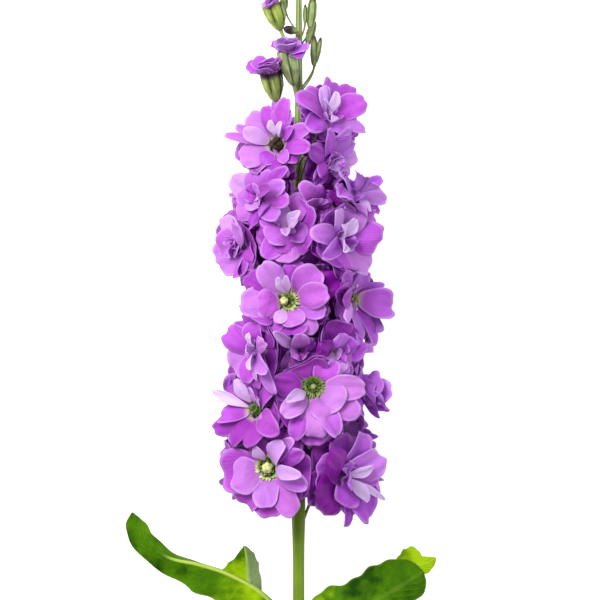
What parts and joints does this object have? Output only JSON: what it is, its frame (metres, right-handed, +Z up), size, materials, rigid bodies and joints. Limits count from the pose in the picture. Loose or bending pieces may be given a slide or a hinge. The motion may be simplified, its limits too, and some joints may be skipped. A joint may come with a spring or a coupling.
{
  "type": "stock flower stem",
  "caption": "Cut stem of double-flowered purple stock lying on a table, with a spike of ruffled blooms, tip buds and wavy leaves.",
  "frame": {"origin": "middle of the bounding box, at the level of the table that the stem lies on", "axes": "+Y along the stem from its cut end to its tip buds, +Z up from the table towards the side of the spike that the picture shows, +X to the right of that side"},
  "size_m": [0.149, 0.447, 0.068],
  "materials": {
    "petal": "satin",
    "flower_eye": "matte",
    "stem_green": "satin",
    "leaf_green": "satin"
  },
  "bodies": {
    "root": {"bloom_centre": "petal", "bloom_centre_right": "petal", "bloom_crown_left": "petal", "bloom_crown_low": "petal", "bloom_crown_right": "petal", "bloom_heart": "petal", "bloom_inner_right": "petal", "bloom_left": "petal", "bloom_low_left": "petal", "bloom_low_right": "petal", "bloom_mid_left": "petal", "bloom_mid_right": "petal", "bloom_right": "petal", "bloom_rim_left": "petal", "bloom_rim_right_low": "petal", "bloom_shoulder_inner": "petal", "bloom_shoulder_left": "petal", "bloom_shoulder_right": "petal", "bloom_under_a": "petal", "bloom_under_b": "petal", "bloom_under_c": "petal", "bloom_under_d": "petal", "bloom_under_e": "petal", "bloom_under_f": "petal", "bloom_under_g": "petal", "bloom_under_h": "petal", "bloom_under_i": "petal", "bloom_under_j": "petal", "bloom_upper_centre": "petal", "bloom_upper_left": "petal", "bloom_upper_right": "petal", "eye_crown_left": "flower_eye", "eye_heart": "flower_eye", "eye_low_left": "flower_eye", "eye_mid_left": "flower_eye", "eye_mid_right": "flower_eye", "eye_right": "flower_eye", "leaf_cut_left": "leaf_green", "leaf_cut_right": "leaf_green", "leaf_left": "leaf_green", "leaf_left_small": "leaf_green", "leaf_low_left": "leaf_green", "leaf_low_right": "leaf_green", "leaf_over": "leaf_green", "leaf_right": "leaf_green", "stem": "stem_green", "tuft_front": "petal", "tuft_left": "petal", "tuft_top_left": "petal"}
  },
  "joints": []
}
